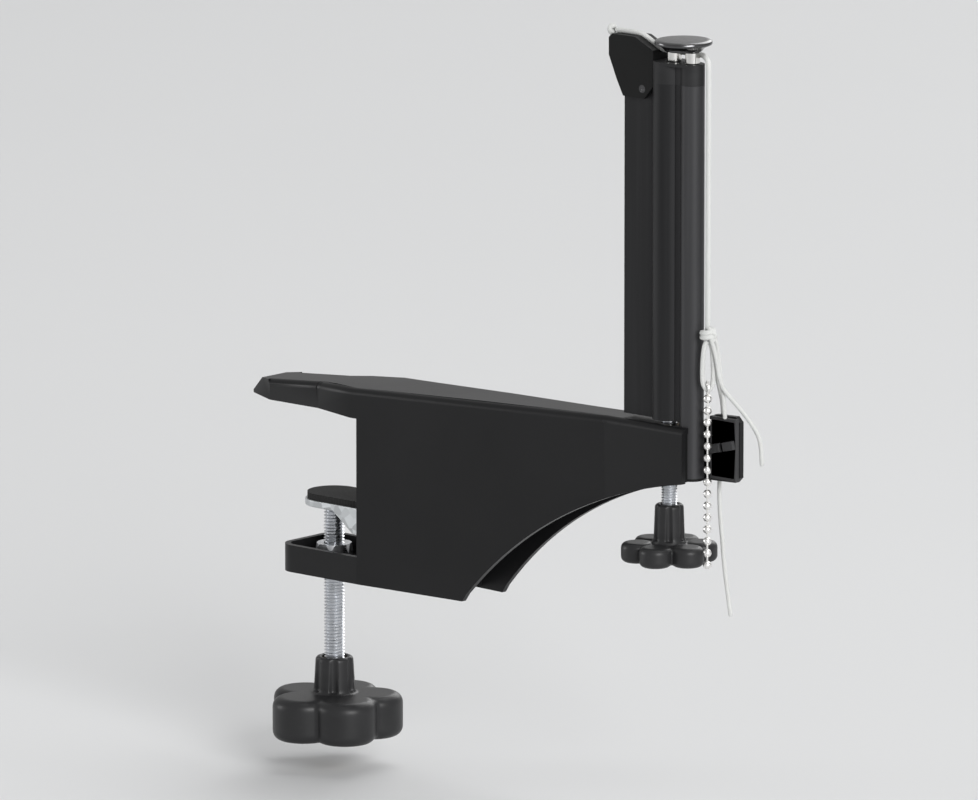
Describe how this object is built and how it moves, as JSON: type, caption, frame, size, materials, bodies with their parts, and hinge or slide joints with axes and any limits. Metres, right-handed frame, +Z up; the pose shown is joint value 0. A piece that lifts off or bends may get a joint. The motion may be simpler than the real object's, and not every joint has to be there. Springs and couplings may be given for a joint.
{
  "type": "table tennis net clamp",
  "caption": "Black formed-steel table tennis net clamp with a screw clamp below, a height-adjustable post, a net cord over a bright head, and a ball chain.",
  "frame": {"origin": "where the clamp screw's axis meets the underside of the upper jaw's pad, which is the table top", "axes": "+X outward from the table along the net line, +Y along the table's edge, +Z up along the screws and the post"},
  "size_m": [0.2468, 0.0509, 0.2917],
  "materials": {
    "black_coat": "satin black powder coat",
    "black_anodised": "satin black anodised",
    "black_plastic": "moulded, fine grain",
    "knob_plastic": "moulded, satin",
    "rubber": "matt",
    "zinc": "bright zinc plated",
    "galvanised": "galvanised sheet",
    "dark_steel": "blackened",
    "brass": "turned",
    "nickel": "polished nickel",
    "cord": "braided polyester"
  },
  "bodies": {
    "clamp": {"clamp_body": "black_coat", "edge_web": "black_coat", "jaw_plate": "black_coat", "clamp_nut": "zinc", "sole_plate": "black_coat", "table_pad": "rubber", "edge_pad": "rubber", "guide_block": "black_plastic", "height_nut": "zinc", "chain_catch": "black_plastic", "cheek_screws": "dark_steel"},
    "shoe": {"pressure_shoe": "galvanised", "shoe_pad": "rubber", "thrust_washer": "zinc"},
    "clamp_spindle": {"clamp_screw": "zinc", "clamp_knob": "knob_plastic", "clamp_knob_insert": "brass"},
    "post": {"post_profile": "black_anodised", "guide_tube": "black_anodised", "tube_plug": "black_plastic", "post_cap": "black_plastic", "cord_head": "nickel", "head_pins": "nickel", "ear_guide": "black_plastic", "ear_pin": "dark_steel", "post_foot": "brass", "net_cord": "cord", "stop_knot": "cord", "cord_knot": "cord", "cord_loop": "cord", "cord_tail_outer": "cord", "cord_tail_inner": "cord", "cord_tail_long": "cord", "chain_ring": "nickel", "ball_chain": "nickel"},
    "height_spindle": {"height_screw": "zinc", "tip_ring": "dark_steel", "height_knob": "knob_plastic", "height_knob_insert": "brass"}
  },
  "joints": [
    {"name": "shoe_slide", "type": "slide", "parent": "clamp", "child": "shoe", "axis": [0, 0, 1], "range_m": [-0.01, 0.03]},
    {"name": "clamp_screw_turn", "type": "hinge", "parent": "shoe", "child": "clamp_spindle", "pos_m": [0, 0, -0.04], "axis": [0, 0, 1], "range_deg": [-2880, 8640]},
    {"name": "post_slide", "type": "slide", "parent": "clamp", "child": "post", "axis": [0, 0, 1], "range_m": [-0.001, 0.005]},
    {"name": "height_screw_turn", "type": "hinge", "parent": "post", "child": "height_spindle", "pos_m": [0.17, 0, 0.01], "axis": [0, 0, 1], "range_deg": [-360, 1800]}
  ],
  "couplings": [
    {"joint": "clamp_screw_turn", "follows": "shoe_slide", "rad_per_m": 5026.5},
    {"joint": "height_screw_turn", "follows": "post_slide", "rad_per_m": 6283.2}
  ]
}
